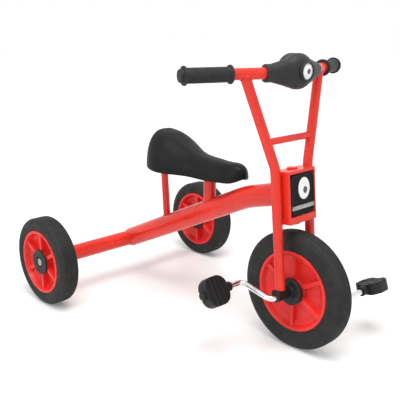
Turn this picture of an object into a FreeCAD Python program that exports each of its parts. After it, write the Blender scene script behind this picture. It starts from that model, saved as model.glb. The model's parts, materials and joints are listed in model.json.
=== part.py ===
import FreeCAD, Part
import math
import os

os.makedirs("parts", exist_ok=True)
V = FreeCAD.Vector

# Child's pedal tricycle. Millimetres. X points to the rider's left, Y to the rear, Z up.
# The origin lies on the floor, half way between the front of the front tyre and the back of the rear ones.

# Layout
wheelbase = 550.0
rear_track = 510.0
rake_deg = 5.35            # lean of the steering axis to the rear
fit_gap = 0.3              # room between seated curved faces of one body
run_gap = 0.08             # radial room of a shaft in its bearing
face_gap = 0.5             # room between faces that turn against each other
weld_gap = 0.15            # room left at a coped tube end
bite = 1.0                 # how far shapes that grow together reach into each other
edge_break = 1.5           # chamfer on moulded edges

# Front wheel
front_wheel_r = 125.0
front_tyre_w = 42.0
front_lip_r = 85.0         # outer radius of the rim's lip
front_lip_half = 18.6      # lip face, from the wheel's middle plane
front_disc_r = 28.0        # black hub disc

# Rear wheels
rear_wheel_r = 105.0
rear_tyre_w = 50.0
rear_lip_r = 76.0
rear_lip_half = 22.8
rear_disc_r = 30.0

# Both sizes of wheel
spoke_count = 6
spoke_w = 9.0
flange_t = 4.0             # side wall of the rim's channel
channel_depth = 7.0        # from the lip's edge down to the tyre's seat
lip_face_w = 6.0
web_half = 3.5             # half thickness of the web between the spokes
bowl_w = 17.0              # radial reach of the bowl's sloping wall
bowl_bend = 0.3            # share of that reach that the bowl's steep outer wall takes
bowl_left = 0.3            # share of the bowl's depth that is left inside that wall
spoke_set_back = 4.0       # spokes lie this far behind the lip's face at the rim
hub_r = 24.0               # moulded boss round the hub
hub_bore_r = 16.0
hub_set_back = 4.0         # face of that boss behind the lip's face
disc_t = 4.0
front_disc_t = 10.0        # the front one stands further out
shoulder_drop = 12.0       # tyre's shoulder, measured down from the tread
shoulder_cut = 6.5         # how far inside the widest line the tread begins
lip_cover = 3.2            # how much narrower the tyre is where it meets the rim's lip

# Crank and pedals
rod_r = 6.0                # crank rod, and the rear axle
crank_length = 82.0
crank_plane = 80.0         # crank arm, from the wheel's middle plane
crank_bend_r = 13.0
crank_rise_deg = 11.0      # the right crank points to the rear and up by this
pedal_centre = 158.0
pedal_length = 58.0
pedal_depth = 50.0
pedal_height = 24.0
pedal_corner_r = 12.0      # round of its corners, seen from above
pedal_boss_l = 9.0
pedal_boss_r = 10.0
pedal_bar_w = 11.0         # treaded bar along each long edge
pedal_waist = 3.0          # the core lies this much lower than the bars
pedal_edge = 4.0           # and this much inside their outer edge
pedal_slot = 3.5           # width and depth of the grooves across the bars
pedal_slots = 4
right_pedal_tilt = 58.0    # how each pedal hangs, turned about its spindle
left_pedal_tilt = -18.0
cap_r = 8.5
cap_t = 6.0
collar_t = 3.0

# Fork and head
leg_r = 10.0
leg_half = 51.0            # straight part of each leg, from the middle plane
bend_up = 257.0            # where the legs start to splay, along the steering axis from the front axle
leg_bend_r = 50.0
bearing_r = 9.5            # round foot of the front bearing, about the crank rod
bearing_top = 13.0         # its flat top, under the leg's end
bearing_inner = 32.0       # ends of the front bearing, from the middle plane
bearing_outer = 66.0
spigot_r = 7.5
spigot_top = 34.0
crown_t = 6.0              # upper crown
lower_crown_t = 14.0       # the lower one is a closed box
crown_low = 146.0          # underside of the lower crown, along the steering axis
crown_gap = 85.0           # open height between the crowns
crown_back = 13.0          # rear edge of the crown plates, behind the steering axis
crown_lug_half = 8.0       # half depth of the ends that meet the legs
crown_lug_in = 4.0         # those ends stop this far short of the legs' middle lines
cover_w = 75.0
cover_t = 4.0
cover_front = 25.0         # front face of the cover, ahead of the steering axis
cover_corner_r = 7.0
cheek_t = 2.5
cheek_back = 5.0
head_r = 16.0
kingpin_r = 8.0
kingpin_head_t = 7.0
kingpin_head_r = 13.0
kingpin_nut_t = 3.5
kingpin_nut_r = 11.0
bush_wall = 2.0
bush_flange_t = 2.0
brace_r = 7.0
brace_height = 434.0

# Handlebar
bar_height = 563.0
bar_apex = 9.2             # where the lines of both arms meet, behind the front axle
bar_sweep_deg = 20.9
bar_arm = 244.5            # from that point to the arm's end
bar_r = 11.0
bar_bend_r = 130.0
leg_on_bar = 121.4         # where the legs meet the bar, along its arm
grip_start = 147.0
grip_r = 14.0
grip_flange_r = 17.5
grip_flange_t = 5.0
grip_end_t = 4.0
grip_end_r = 12.0
grip_end_l = 7.0           # how far the smaller cap stands out beyond the outer flange
lamp_r = 33.0
lamp_lift = 2.0            # the lamp's middle lies above the bar
lamp_ahead = 18.0          # the drum's front and back faces, from the crest of the bar
lamp_behind = 34.0
lamp_round = 17.0          # round of the drum's rims
lamp_sleeve_end = 78.0
lamp_sleeve_r = 17.0
lamp_neck_tall = 31.0      # the sleeve flares to this half height inside the drum
lamp_neck_deep = 17.0      # and to this half depth
lamp_neck_start = 12.0
lamp_neck_end = 64.0
lamp_bezel_r = 18.5
lamp_bezel_front = 25.5
lens_r = 16.0
lens_t = 7.0
lens_proud = 1.5           # how far its middle stands out of the bezel
lens_bevel = 4.0
lens_bevel_w = 10.5

# Frame
backbone_r = 24.0
head_joint_height = 325.5
backbone_bend = (137.0, 296.0)   # behind the front axle, height
backbone_bend_r = 300.0
axle_tube_r = 19.0
axle_tube_wall = 2.5
post_r = 14.0
post_in = 29.0             # seat post, behind the plate's front edge
strut_r = 8.5
strut_in = 8.0             # top of the rear strut, ahead of the plate's rear edge
strut_lean = 10.0          # its foot stands this much ahead of its top
plate_height = 334.0
plate_t = 4.0
plate_w = 44.0
plate_from_nose = 81.0     # the plate's ends, from those of the saddle
plate_from_tail = 8.0
bush_in = 20.0             # how far an axle bush reaches into its tube

# Saddle
saddle_front = 145.0       # tip of its nose, behind the front axle
saddle_length = 285.0
saddle_width = 138.0
saddle_base = 318.0
saddle_rise = 94.0
saddle_wall = 5.0
saddle_rib_half = 15.0
saddle_rib_t = 4.0
saddle_side = 0.5          # how far up the sections' sides stay upright
saddle_crown = 0.55        # share of the half width that the flat of the top pulls towards
# share of the length, share of the half width, lower edge and crest as shares of the rise
saddle_stations = [
    (0.00, 0.17, 0.15, 0.34),
    (0.05, 0.32, 0.07, 0.44),
    (0.15, 0.44, 0.02, 0.47),
    (0.32, 0.52, 0.00, 0.49),
    (0.50, 0.61, 0.02, 0.55),
    (0.64, 0.84, 0.03, 0.70),
    (0.78, 1.00, 0.04, 0.90),
    (0.90, 0.90, 0.08, 1.00),
    (0.97, 0.64, 0.13, 0.88),
    (1.00, 0.42, 0.17, 0.66),
]

# Rear axle
nut_recess_r = 12.5
nut_across = 17.0
nut_t = 4.0
nut_dome = 2.0
rear_hub_half = 24.5

# Worked out from the above
front_y = front_wheel_r - (wheelbase + front_wheel_r + rear_wheel_r) / 2
rear_y = front_y + wheelbase
front_axle = V(0, front_y, front_wheel_r)
rake = math.radians(rake_deg)
sweep = math.radians(bar_sweep_deg)
rise = math.radians(crank_rise_deg)
crown_floor = crown_low + lower_crown_t
crown_up = crown_floor + crown_gap
bar_middle = V(0, front_y + bar_apex, bar_height)
bar_crest = bar_bend_r * (1 / math.cos(sweep) - 1)
crown_side = leg_half - leg_r - weld_gap
nut_seat = rear_lip_half - hub_set_back - bite
tube_half = rear_track / 2 - rear_hub_half - face_gap - bush_flange_t
pedal_reach = V(0, math.cos(rise), math.sin(rise)) * crank_length
plate_front = saddle_front + plate_from_nose
plate_rear = saddle_front + saddle_length - plate_from_tail
post_back = plate_front + post_in
strut_back = plate_rear - strut_in
X_AXIS = V(1, 0, 0)
Z_AXIS = V(0, 0, 1)


def arm_point(side, along):
    """Point on the handlebar's arm, at a distance from the bar's middle."""
    return bar_middle + V(side * along * math.cos(sweep), along * math.sin(sweep), 0)


def arm_direction(side):
    return V(side * math.cos(sweep), math.sin(sweep), 0)


def to_fork(shape):
    """Lean a shape drawn about a vertical steering axis back to its rake, at the front axle."""
    placed = shape.copy()
    placed.rotate(V(0, 0, 0), X_AXIS, -rake_deg)
    placed.translate(front_axle)
    return placed


def in_fork(point):
    """A point of the whole trike, in the upright frame that the fork is drawn in."""
    back = point.y - front_axle.y
    up = point.z - front_axle.z
    along = back * math.cos(rake) - up * math.sin(rake)
    return V(point.x, along, back * math.sin(rake) + up * math.cos(rake))


def bent_path(points, radii):
    """A wire of straight runs joined by tangent arcs, one radius for each inner point."""
    edges = []
    start = points[0]
    for before, corner, after, radius in zip(points, points[1:], points[2:], radii):
        back = (before - corner).normalize()
        ahead = (after - corner).normalize()
        half = back.getAngle(ahead) / 2
        reach = radius / math.tan(half)
        enter = corner + back * reach
        leave = corner + ahead * reach
        middle = (back + ahead).normalize()
        crest = corner + middle * (radius / math.sin(half) - radius)
        edges.append(Part.makeLine(start, enter))
        edges.append(Part.Arc(enter, crest, leave).toShape())
        start = leave
    edges.append(Part.makeLine(start, points[-1]))
    return Part.Wire(edges)


def tube_along(path, radius):
    """A round bar or tube, closed, along a wire."""
    first = path.OrderedEdges[0]
    start = first.valueAt(first.FirstParameter)
    heading = first.tangentAt(first.FirstParameter)
    section = Part.Wire([Part.makeCircle(radius, start, heading)])
    return path.makePipeShell([section], True, True)


def rod(radius, start, end):
    return Part.makeCylinder(radius, (end - start).Length, start, end - start)


def turned(outline):
    """Revolve a closed outline of (x, r) corners about the X axis."""
    corners = [V(x, 0, r) for x, r in outline]
    return Part.Face(Part.makePolygon(corners + corners[:1])).revolve(V(0, 0, 0), X_AXIS, 360)


def block(low, high):
    size = high - low
    return Part.makeBox(size.x, size.y, size.z, low)


def at_wheel(shape, x, y, radius):
    placed = shape.copy()
    placed.translate(V(x, y, radius))
    return placed


def tyre(radius, width, lip_r, lip_half):
    """Solid rubber tyre: a foot held in the rim's channel, leaning side walls and a tread."""
    half = width / 2
    foot = lip_half - flange_t - fit_gap
    seat = lip_r - channel_depth + fit_gap
    over_lip = lip_r + fit_gap
    side = [
        (foot, seat),
        (foot, over_lip),
        (half - lip_cover, over_lip),
        (half, radius - shoulder_drop),
        (half - shoulder_cut, radius),
    ]
    other = [(-x, r) for x, r in reversed(side)]
    return turned(side + other)


def rim(lip_r, lip_half):
    """Moulded rim: a channel for the tyre, a bowl on each side with a flat lip, and spokes up to the boss."""
    channel_r = lip_r - channel_depth
    lip_inner = lip_r - lip_face_w
    web_r = lip_inner - bowl_w
    boss = lip_half - hub_set_back
    bowl_floor = web_half + bowl_left * (lip_half - web_half)
    section = [
        (lip_half - flange_t, channel_r),
        (lip_half - flange_t, lip_r),
        (lip_half, lip_r),
        (lip_half, lip_inner),
        (bowl_floor, lip_inner - bowl_w * bowl_bend),
        (web_half, web_r),
        (web_half, hub_r),
        (boss, hub_r),
        (boss, hub_bore_r),
    ]
    whole = turned(section + [(-x, r) for x, r in reversed(section)])
    outer = channel_r - bite
    at_boss = boss - bite
    at_bowl = lip_half - spoke_set_back - bite
    rib_outline = [
        V(at_boss, -spoke_w / 2, hub_r - bite),
        V(at_bowl, -spoke_w / 2, outer),
        V(-at_bowl, -spoke_w / 2, outer),
        V(-at_boss, -spoke_w / 2, hub_r - bite),
    ]
    rib = Part.Face(Part.makePolygon(rib_outline + rib_outline[:1])).extrude(V(0, spoke_w, 0))
    for number in range(spoke_count):
        spoke = rib.copy()
        spoke.rotate(V(0, 0, 0), X_AXIS, number * 360.0 / spoke_count)
        whole = whole.fuse(spoke)
    return whole.removeSplitter()


def front_hub(side):
    """Black disc and boss on one side of the front wheel, with a spigot in the rim's bore."""
    face = front_lip_half - hub_set_back
    end = bearing_inner - face_gap
    bore = rod_r + fit_gap
    spigot = hub_bore_r - fit_gap
    shape = turned([
        (fit_gap, bore),
        (fit_gap, spigot),
        (face, spigot),
        (face, front_disc_r),
        (face + front_disc_t - edge_break, front_disc_r),
        (face + front_disc_t, front_disc_r - edge_break),
        (face + front_disc_t, spigot),
        (end, spigot - edge_break),
        (end, bore),
    ])
    return shape if side > 0 else shape.mirror(V(0, 0, 0), X_AXIS)


def rear_hub_inner(hub_half):
    """Inner disc and bearing barrel of a rear wheel, drawn for the left one."""
    face = rear_lip_half - hub_set_back
    bore = rod_r + run_gap
    spigot = hub_bore_r - fit_gap
    return turned([
        (0, bore),
        (0, spigot),
        (-face, spigot),
        (-face, rear_disc_r),
        (-face - disc_t + edge_break, rear_disc_r),
        (-face - disc_t, rear_disc_r - edge_break),
        (-hub_half, hub_bore_r),
        (-hub_half, bore),
    ])


def rear_hub_cap(recess_floor):
    """Outer disc of a rear wheel, with a round recess for the axle's nut."""
    face = rear_lip_half - hub_set_back
    bore = rod_r + run_gap
    spigot = hub_bore_r - fit_gap
    return turned([
        (fit_gap, bore),
        (fit_gap, spigot),
        (face, spigot),
        (face, rear_disc_r),
        (face + disc_t - edge_break, rear_disc_r),
        (face + disc_t, rear_disc_r - edge_break),
        (face + disc_t, nut_recess_r),
        (recess_floor, nut_recess_r),
        (recess_floor, bore),
    ])


def hex_nut(across, height, start, direction, dome):
    """Hexagon nut with a domed end."""
    corners = [V(across / math.sqrt(3), 0, 0)]
    for number in range(1, 7):
        corners.append(FreeCAD.Rotation(Z_AXIS, 60 * number).multVec(corners[0]))
    nut = Part.Face(Part.makePolygon(corners)).extrude(V(0, 0, height))
    nut = nut.fuse(Part.makeCone(across / 2 - bite, across / 4, dome, V(0, 0, height)))
    nut.rotate(V(0, 0, 0), Z_AXIS.cross(direction), 90)
    nut.translate(start)
    return nut


def front_bearing(side):
    """Bearing block under a fork leg: round below the crank rod, flat on top, a spigot up into the leg."""
    barrel = Part.makeCylinder(bearing_r, bearing_outer - bearing_inner, V(bearing_inner, 0, 0), X_AXIS)
    body = block(V(bearing_inner, -bearing_r, 0), V(bearing_outer, bearing_r, bearing_top))
    spigot = Part.makeCylinder(spigot_r, spigot_top, V(leg_half, 0, 0), Z_AXIS)
    bore = Part.makeCylinder(rod_r + run_gap, 2 * bearing_outer, V(0, 0, 0), X_AXIS)
    shape = barrel.fuse([body, spigot]).removeSplitter().cut(bore)
    if side < 0:
        shape = shape.mirror(V(0, 0, 0), X_AXIS)
    return to_fork(shape)


def fork_leg(side):
    """Fork tube: upright from the bearing, then splayed out to meet the handlebar from below."""
    top = in_fork(arm_point(side, leg_on_bar))
    foot = V(side * leg_half, 0, bearing_top + weld_gap)
    path = bent_path([foot, V(side * leg_half, 0, bend_up), top], [leg_bend_r])
    leg = tube_along(path, leg_r)
    socket = Part.makeCylinder(spigot_r + fit_gap, spigot_top + fit_gap, V(side * leg_half, 0, 0), Z_AXIS)
    leg = to_fork(leg.cut(socket))
    return leg.cut(rod(bar_r + weld_gap, bar_middle, arm_point(side, bar_arm)))


def crown(low, thick):
    """Plate between the legs, coped round them, with a bore for the kingpin and a nose over the cover."""
    lug_end = leg_half - crown_lug_in
    lugs = block(V(-lug_end, -crown_lug_half, low), V(lug_end, crown_lug_half, low + thick))
    plate = block(V(-crown_side, -cover_front, low), V(crown_side, crown_back, low + thick))
    plate = plate.fuse(lugs).removeSplitter()
    plate = plate.cut(Part.makeCylinder(kingpin_r + weld_gap, thick, V(0, 0, low), Z_AXIS))
    for side in (-1, 1):
        plate = plate.cut(Part.makeCylinder(leg_r + weld_gap, thick, V(side * leg_half, 0, low), Z_AXIS))
    return to_fork(plate)


def cheek(side):
    """Side wall between the crowns, from the leg to the front cover."""
    low = V(crown_side - cheek_t, -cover_front, crown_floor)
    high = V(crown_side, cheek_back, crown_up)
    shape = block(low, high)
    if side < 0:
        shape = shape.mirror(V(0, 0, 0), X_AXIS)
    return to_fork(shape)


def head_cover():
    """Black moulded cover that closes the front of the head."""
    low = V(-cover_w / 2, -cover_front, crown_floor + face_gap)
    high = V(cover_w / 2, -cover_front + cover_t, crown_up - face_gap)
    plate = block(low, high)
    upright = [e for e in plate.Edges if abs(e.tangentAt(e.FirstParameter).y) > 0.9]
    plate = plate.makeFillet(cover_corner_r, upright)
    front = [e for e in plate.Edges if abs(e.CenterOfMass.y + cover_front) < fit_gap]
    return to_fork(plate.makeChamfer(cover_t / 3, front))


def head_tube():
    low = crown_floor + face_gap + bush_flange_t
    high = crown_up - face_gap - bush_flange_t
    tube = Part.makeCylinder(head_r, high - low, V(0, 0, low), Z_AXIS)
    bore_r = kingpin_r + bush_wall + fit_gap
    return to_fork(tube.cut(Part.makeCylinder(bore_r, high - low, V(0, 0, low), Z_AXIS)))


def head_bush(upper):
    """Flanged bush that carries the kingpin at one end of the head tube."""
    low = crown_floor + face_gap
    flange = Part.makeCylinder(head_r - bite, bush_flange_t, V(0, 0, low), Z_AXIS)
    sleeve = Part.makeCylinder(kingpin_r + bush_wall, crown_gap / 4, V(0, 0, low), Z_AXIS)
    bore = Part.makeCylinder(kingpin_r + run_gap, crown_gap / 4, V(0, 0, low), Z_AXIS)
    bush = flange.fuse(sleeve).cut(bore)
    if upper:
        bush = bush.mirror(V(0, 0, crown_floor + crown_gap / 2), Z_AXIS)
    return to_fork(bush)


def kingpin():
    """Bolt through both crowns and the head tube."""
    shank = Part.makeCylinder(kingpin_r, crown_up + crown_t - crown_low, V(0, 0, crown_low), Z_AXIS)
    head_low = crown_low - kingpin_head_t
    head = Part.makeCylinder(kingpin_head_r, kingpin_head_t, V(0, 0, head_low), Z_AXIS)
    lower_edge = [e for e in head.Edges if e.CenterOfMass.z < head_low + fit_gap]
    return to_fork(shank.fuse(head.makeChamfer(edge_break, lower_edge)))


def kingpin_nut():
    """Low round nut on top of the upper crown."""
    low = crown_up + crown_t
    nut = Part.makeCylinder(kingpin_nut_r, kingpin_nut_t, V(0, 0, low), Z_AXIS)
    crest = [e for e in nut.Edges if e.CenterOfMass.z > low + kingpin_nut_t - fit_gap]
    return to_fork(nut.makeChamfer(edge_break, crest))


def leg_centre(side, height):
    """Point on a leg's upper run at a height above the floor."""
    foot = V(side * leg_half, 0, bend_up)
    top = in_fork(arm_point(side, leg_on_bar))
    run = top - foot
    foot_world = to_fork(Part.Vertex(foot)).Point
    top_world = arm_point(side, leg_on_bar)
    share = (height - foot_world.z) / (top_world.z - foot_world.z)
    return to_fork(Part.Vertex(foot + run * share)).Point


def fork_brace():
    """Cross tube between the legs above the head."""
    left = leg_centre(1, brace_height)
    right = leg_centre(-1, brace_height)
    bar = rod(brace_r, right, left)
    for side in (-1, 1):
        low = leg_centre(side, brace_height - 4 * leg_r)
        high = leg_centre(side, brace_height + 4 * leg_r)
        bar = bar.cut(rod(leg_r + weld_gap, low, high))
    return bar


def handlebar(radius):
    ends = [arm_point(-1, bar_arm), bar_middle, arm_point(1, bar_arm)]
    return tube_along(bent_path(ends, [bar_bend_r]), radius)


def turned_on_arm(outline, side):
    """A turned piece whose X is the distance out along a handlebar arm."""
    shape = turned(outline)
    if side < 0:
        shape = shape.mirror(V(0, 0, 0), X_AXIS)
    shape.rotate(V(0, 0, 0), Z_AXIS, side * bar_sweep_deg)
    shape.translate(bar_middle)
    return shape


def grip(side):
    """Moulded grip with a flange at both ends and a smaller cap over the tube's end."""
    cap_end = bar_arm + grip_end_t
    outer_flange = cap_end - grip_end_l
    bore = bar_r + weld_gap
    return turned_on_arm([
        (grip_start, bore),
        (grip_start, grip_flange_r),
        (grip_start + grip_flange_t, grip_flange_r),
        (grip_start + grip_flange_t, grip_r),
        (outer_flange - grip_flange_t, grip_r),
        (outer_flange - grip_flange_t, grip_flange_r),
        (outer_flange, grip_flange_r),
        (outer_flange, grip_end_r),
        (cap_end - edge_break, grip_end_r),
        (cap_end, grip_end_r - edge_break),
        (cap_end, 0),
        (bar_arm, 0),
        (bar_arm, bore),
    ], side)


def lamp_front(distance):
    """A point ahead of the lamp's middle, which sits on the crest of the bar's bend."""
    return bar_middle + V(0, bar_crest - distance, lamp_lift)


def lamp_neck(side):
    """Flare from a sleeve up to a tall oval inside the drum."""
    direction = arm_direction(side)
    upright = FreeCAD.Rotation(Z_AXIS, direction.cross(Z_AXIS), direction, "XYZ")
    rings = []
    for along, tall, deep in (
        (lamp_neck_start, lamp_neck_tall, lamp_neck_deep),
        (lamp_neck_end, lamp_sleeve_r, lamp_sleeve_r),
    ):
        oval = Part.Ellipse(V(0, 0, 0), tall, deep).toShape()
        oval.Placement = FreeCAD.Placement(arm_point(side, along), upright)
        rings.append(Part.Wire([oval]))
    return Part.makeLoft(rings, True, True)


def lamp_housing():
    """Drum with round rims on the bar, a flared sleeve along each arm and a bezel that faces ahead."""
    ahead = V(0, -1, 0)
    drum = Part.makeCylinder(lamp_r, lamp_behind + lamp_ahead, lamp_front(-lamp_behind), ahead)
    drum = drum.makeFillet(lamp_round, [e for e in drum.Edges if e.Curve.TypeId == "Part::GeomCircle"])
    grown = [Part.makeCylinder(lamp_bezel_r, lamp_bezel_front, lamp_front(0), ahead)]
    for side in (-1, 1):
        grown.append(rod(lamp_sleeve_r, arm_point(side, lamp_neck_start), arm_point(side, lamp_sleeve_end)))
        grown.append(lamp_neck(side))
    housing = drum.fuse(grown)
    recess = lamp_front(lamp_bezel_front + lens_proud - lens_t)
    housing = housing.cut(Part.makeCylinder(lens_r, lamp_r, recess, ahead))
    return housing.cut(handlebar(bar_r + weld_gap))


def lamp_lens():
    """Lens in the lamp's bezel, bevelled round its front."""
    front = lamp_bezel_front + lens_proud
    lens = turned([
        (front - lens_t, 0),
        (front - lens_t, lens_r - fit_gap),
        (front - lens_bevel, lens_r - fit_gap),
        (front, lens_r - fit_gap - lens_bevel_w),
        (front, 0),
    ])
    lens.rotate(V(0, 0, 0), Z_AXIS, -90)
    lens.translate(lamp_front(0))
    return lens


def crank():
    """One bent rod: axle, both crank arms and both pedal spindles, with a collar inside each pedal."""
    tip = pedal_centre + pedal_length / 2 + face_gap + cap_t - bite
    points = [
        front_axle + V(-tip, 0, 0) + pedal_reach,
        front_axle + V(-crank_plane, 0, 0) + pedal_reach,
        front_axle + V(-crank_plane, 0, 0),
        front_axle + V(crank_plane, 0, 0),
        front_axle + V(crank_plane, 0, 0) - pedal_reach,
        front_axle + V(tip, 0, 0) - pedal_reach,
    ]
    shape = tube_along(bent_path(points, [crank_bend_r] * 4), rod_r)
    collar_end = pedal_centre - pedal_length / 2 - pedal_boss_l - face_gap
    for side in (-1, 1):
        spindle = front_axle - pedal_reach * side
        inner = spindle + V(side * (collar_end - collar_t), 0, 0)
        shape = shape.fuse(rod(pedal_boss_r - edge_break, inner, spindle + V(side * collar_end, 0, 0)))
    return shape


def pedal(side):
    """Moulded pedal with round corners: a waisted core, grooved bars along its edges, a boss to the crank."""
    half_l = pedal_length / 2
    half_d = pedal_depth / 2
    half_h = pedal_height / 2
    core_d = half_d - pedal_edge
    core_h = half_h - pedal_waist
    shape = block(V(-half_l, -core_d, -core_h), V(half_l, core_d, core_h))
    shape = shape.fuse([
        block(V(-half_l, -half_d, -half_h), V(half_l, -half_d + pedal_bar_w, half_h)),
        block(V(-half_l, half_d - pedal_bar_w, -half_h), V(half_l, half_d, half_h)),
    ])
    for number in range(pedal_slots):
        x = -half_l + pedal_length * (number + 1) / (pedal_slots + 1) - pedal_slot / 2
        groove = block(V(x, -pedal_depth, half_h - pedal_slot), V(x + pedal_slot, pedal_depth, pedal_height))
        shape = shape.cut(groove).cut(groove.mirror(V(0, 0, 0), Z_AXIS))
    plan = block(V(-half_l, -half_d, -half_h), V(half_l, half_d, half_h))
    upright = [e for e in plan.Edges if abs(e.tangentAt(e.FirstParameter).z) > 0.9]
    shape = shape.common(plan.makeFillet(pedal_corner_r, upright))
    boss = Part.makeCylinder(pedal_boss_r, pedal_boss_l + bite, V(-half_l - pedal_boss_l, 0, 0), X_AXIS)
    shape = shape.fuse(boss).removeSplitter()
    shape = shape.cut(Part.makeCylinder(rod_r + run_gap, 2 * pedal_length, V(-pedal_length, 0, 0), X_AXIS))
    if side < 0:
        shape = shape.mirror(V(0, 0, 0), X_AXIS)
    shape.rotate(V(0, 0, 0), X_AXIS, left_pedal_tilt if side > 0 else right_pedal_tilt)
    shape.translate(front_axle - pedal_reach * side + V(side * pedal_centre, 0, 0))
    return shape


def pedal_cap(side):
    """Pressed cap on the spindle's end."""
    start = pedal_centre + pedal_length / 2 + face_gap
    cap = turned([
        (start, 0),
        (start, cap_r),
        (start + cap_t - edge_break, cap_r),
        (start + cap_t, cap_r - edge_break),
        (start + cap_t, 0),
    ])
    cap = cap.cut(Part.makeCylinder(rod_r + weld_gap, cap_t - bite + weld_gap, V(start, 0, 0), X_AXIS))
    if side < 0:
        cap = cap.mirror(V(0, 0, 0), X_AXIS)
    cap.translate(front_axle - pedal_reach * side)
    return cap


def head_point():
    """Where the backbone's middle line meets the steering axis."""
    up = (head_joint_height - front_wheel_r) / math.cos(rake)
    return to_fork(Part.Vertex(V(0, 0, up))).Point


def backbone_path():
    corner = V(0, front_y + backbone_bend[0], backbone_bend[1])
    return bent_path([head_point(), corner, V(0, rear_y, rear_wheel_r)], [backbone_bend_r])


def across(radius, half):
    """A rod on the rear axle's line."""
    return rod(radius, V(-half, rear_y, rear_wheel_r), V(half, rear_y, rear_wheel_r))


def backbone():
    """Main tube from the head down to the rear axle tube, bent once, coped at both ends."""
    tube = tube_along(backbone_path(), backbone_r)
    head = to_fork(Part.makeCylinder(head_r + weld_gap, 4 * crown_gap, V(0, 0, 0), Z_AXIS))
    slab = to_fork(block(V(-rear_track, -rear_track, 0), V(rear_track, head_r / 2, 4 * crown_gap)))
    tube = tube.cut(slab).cut(head)
    return tube.cut(across(axle_tube_r + weld_gap, rear_track))


def backbone_height(back):
    """Height of the backbone's middle line on its long straight run."""
    slope = (backbone_bend[1] - rear_wheel_r) / (wheelbase - backbone_bend[0])
    return rear_wheel_r + slope * (wheelbase - back)


def standing_tube(radius, foot_back, top_back):
    """Tube from the backbone's middle line up to the saddle's plate, coped on the backbone."""
    foot = V(0, front_y + foot_back, backbone_height(foot_back))
    top = V(0, front_y + top_back, plate_height)
    longer = top + (top - foot).normalize() * radius
    tube = rod(radius, foot, longer)
    tube = tube.cut(tube_along(backbone_path(), backbone_r + weld_gap))
    return tube.cut(block(V(-radius, front_y, plate_height), V(radius, rear_y, plate_height + 3 * radius)))


def seat_plate():
    """Steel plate under the saddle, with round corners."""
    low = V(-plate_w / 2, front_y + plate_front, plate_height)
    high = V(plate_w / 2, front_y + plate_rear, plate_height + plate_t)
    plate = block(low, high)
    upright = [e for e in plate.Edges if abs(e.tangentAt(e.FirstParameter).z) > 0.9]
    return plate.makeFillet(plate_w / 4, upright)


def saddle_section(y, half, low, crest):
    """Section across the saddle: a straight lower edge, upright sides and a full curve over the top."""
    shoulder = low + saddle_side * (crest - low)
    side = [V(half, y, low), V(half, y, shoulder), V(half * saddle_crown, y, crest)]
    poles = side + [V(0, y, crest)] + [V(-p.x, p.y, p.z) for p in reversed(side)]
    curve = Part.BSplineCurve()
    curve.buildFromPolesMultsKnots(poles, [4, 1, 1, 1, 4], [0, 1, 2, 3, 4], False, 3)
    return Part.Wire([curve.toShape(), Part.makeLine(poles[-1], poles[0])])


def saddle_body(inset, deeper):
    """Closed body through sections from nose to tail, each narrower and lower by an inset."""
    sections = []
    for share, wide, low, high in saddle_stations:
        y = front_y + saddle_front + inset + share * (saddle_length - 2 * inset)
        half = wide * saddle_width / 2 - inset
        bottom = saddle_base + low * saddle_rise - deeper
        crest = saddle_base + high * saddle_rise - inset
        sections.append(saddle_section(y, half, bottom, crest))
    return Part.makeLoft(sections, True, False)


def saddle():
    """Moulded saddle shell, open below, with two ribs that rest on the seat plate."""
    outer = saddle_body(0.0, 0.0)
    shell = outer.cut(saddle_body(saddle_wall, saddle_wall))
    ribs = []
    for side in (-1, 1):
        x = side * saddle_rib_half
        low = V(x - saddle_rib_t / 2, front_y + plate_front, plate_height + plate_t)
        high = V(x + saddle_rib_t / 2, front_y + plate_rear, saddle_base + saddle_rise)
        ribs.append(block(low, high).common(outer))
    return shell.fuse(ribs)


def axle_tube():
    return across(axle_tube_r, tube_half).cut(across(axle_tube_r - axle_tube_wall, tube_half))


def axle_bush(side):
    """Flanged bush that centres the rear axle in one end of its tube."""
    bore = rod_r + weld_gap
    inner_r = axle_tube_r - axle_tube_wall - fit_gap
    shape = turned([
        (tube_half - bush_in, bore),
        (tube_half - bush_in, inner_r),
        (tube_half, inner_r),
        (tube_half, axle_tube_r),
        (tube_half + bush_flange_t, axle_tube_r - bite),
        (tube_half + bush_flange_t, bore),
    ])
    if side < 0:
        shape = shape.mirror(V(0, 0, 0), X_AXIS)
    return at_wheel(shape, 0, rear_y, rear_wheel_r)


def rear_axle():
    return across(rod_r, rear_track / 2 + nut_seat + face_gap + nut_t)


def axle_nut(side):
    start = V(side * (rear_track / 2 + nut_seat + face_gap), 0, 0)
    nut = hex_nut(nut_across, nut_t, start, V(side, 0, 0), nut_dome)
    return at_wheel(nut, 0, rear_y, rear_wheel_r).cut(across(rod_r + weld_gap, rear_track))


def rear_wheel(side):
    """The four pieces of one rear wheel, as name and shape."""
    pieces = {
        "rear_tyre": tyre(rear_wheel_r, rear_tyre_w, rear_lip_r, rear_lip_half),
        "rear_rim": rim(rear_lip_r, rear_lip_half),
        "rear_hub": rear_hub_inner(rear_hub_half),
        "rear_hub_cap": rear_hub_cap(nut_seat),
    }
    placed = {}
    for name, shape in pieces.items():
        if side < 0:
            shape = shape.mirror(V(0, 0, 0), X_AXIS)
        placed[name] = at_wheel(shape, side * rear_track / 2, rear_y, rear_wheel_r)
    return placed


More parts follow.
